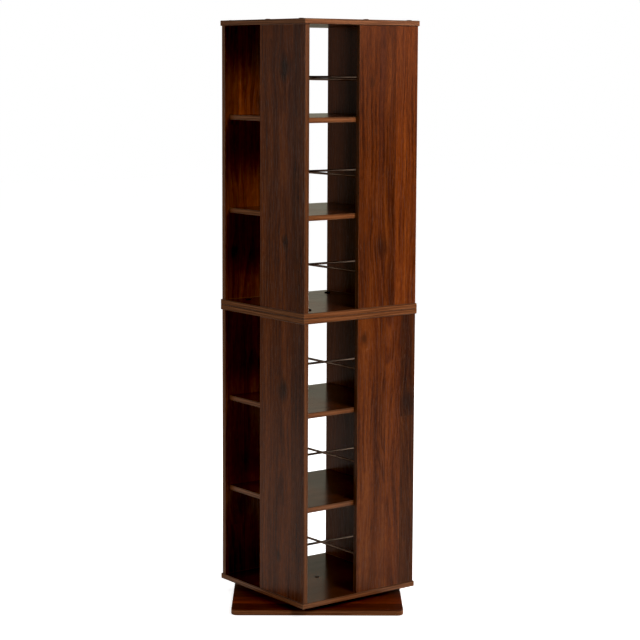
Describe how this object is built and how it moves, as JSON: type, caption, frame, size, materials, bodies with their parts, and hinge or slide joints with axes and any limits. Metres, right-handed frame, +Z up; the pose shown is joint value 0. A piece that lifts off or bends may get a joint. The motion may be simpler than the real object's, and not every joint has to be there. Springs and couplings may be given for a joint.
{
  "type": "rotating media tower",
  "caption": "Tall square walnut-finish media tower of stacked open shelf units with pinwheel side panels and crossed back-stop rods, turning on a ball swivel over a square base.",
  "frame": {"origin": "middle of the underside, on the floor, on the axis that the tower turns about", "axes": "+Z up along the turning axis; X and Y square to the tower's faces, -Y out of the front panel; the base board is turned 37 degrees clockwise from above against the tower, as in the picture"},
  "size_m": [0.5348, 0.5348, 1.3397],
  "materials": {
    "walnut_laminate": "satin walnut-print laminate on board",
    "rod_steel": "satin dark bronze paint",
    "bolt_steel": "black oxide",
    "zinc_steel": "zinc plated",
    "cage_plastic": "natural nylon",
    "brown_plastic": "matt brown",
    "beech": "raw fluted dowel",
    "felt": "pressed felt"
  },
  "bodies": {
    "base": {"base_board": "walnut_laminate", "base_pads": "felt", "swivel_lower_plate": "zinc_steel", "swivel_lower_screws": "zinc_steel", "pivot_rivet": "zinc_steel"},
    "ball_ring": {"ball_cage": "cage_plastic", "swivel_balls": "zinc_steel"},
    "tower": {"swivel_upper_plate": "zinc_steel", "swivel_upper_screws": "zinc_steel", "unit_nuts": "zinc_steel", "centre_cap": "brown_plastic", "top_screw_caps": "brown_plastic", "unit_bolts": "bolt_steel", "lower_bottom_board": "walnut_laminate", "lower_top_board": "walnut_laminate", "lower_shelf_1": "walnut_laminate", "lower_shelf_2": "walnut_laminate", "lower_panel_front": "walnut_laminate", "lower_panel_right": "walnut_laminate", "lower_panel_back": "walnut_laminate", "lower_panel_left": "walnut_laminate", "lower_rod_1_side_to_side": "rod_steel", "lower_rod_1_front_to_back": "rod_steel", "lower_rod_2_side_to_side": "rod_steel", "lower_rod_2_front_to_back": "rod_steel", "lower_rod_3_side_to_side": "rod_steel", "lower_rod_3_front_to_back": "rod_steel", "lower_bottom_screws": "zinc_steel", "lower_top_screws": "zinc_steel", "lower_bottom_dowels": "beech", "lower_top_dowels": "beech", "lower_shelf_1_dowels": "beech", "lower_shelf_2_dowels": "beech", "upper_bottom_board": "walnut_laminate", "upper_top_board": "walnut_laminate", "upper_shelf_1": "walnut_laminate", "upper_shelf_2": "walnut_laminate", "upper_panel_front": "walnut_laminate", "upper_panel_right": "walnut_laminate", "upper_panel_back": "walnut_laminate", "upper_panel_left": "walnut_laminate", "upper_rod_1_side_to_side": "rod_steel", "upper_rod_1_front_to_back": "rod_steel", "upper_rod_2_side_to_side": "rod_steel", "upper_rod_2_front_to_back": "rod_steel", "upper_rod_3_side_to_side": "rod_steel", "upper_rod_3_front_to_back": "rod_steel", "upper_bottom_screws": "zinc_steel", "upper_top_screws": "zinc_steel", "upper_bottom_dowels": "beech", "upper_top_dowels": "beech", "upper_shelf_1_dowels": "beech", "upper_shelf_2_dowels": "beech"}
  },
  "joints": [
    {"name": "tower_turn", "type": "hinge", "parent": "base", "child": "tower", "pos_m": [0, 0, 0.0245], "axis": [0, 0, 1], "continuous": true},
    {"name": "ball_ring_turn", "type": "hinge", "parent": "base", "child": "ball_ring", "pos_m": [0, 0, 0.019], "axis": [0, 0, 1], "continuous": true}
  ],
  "couplings": [
    {"joint": "ball_ring_turn", "follows": "tower_turn", "ratio": 0.5}
  ]
}
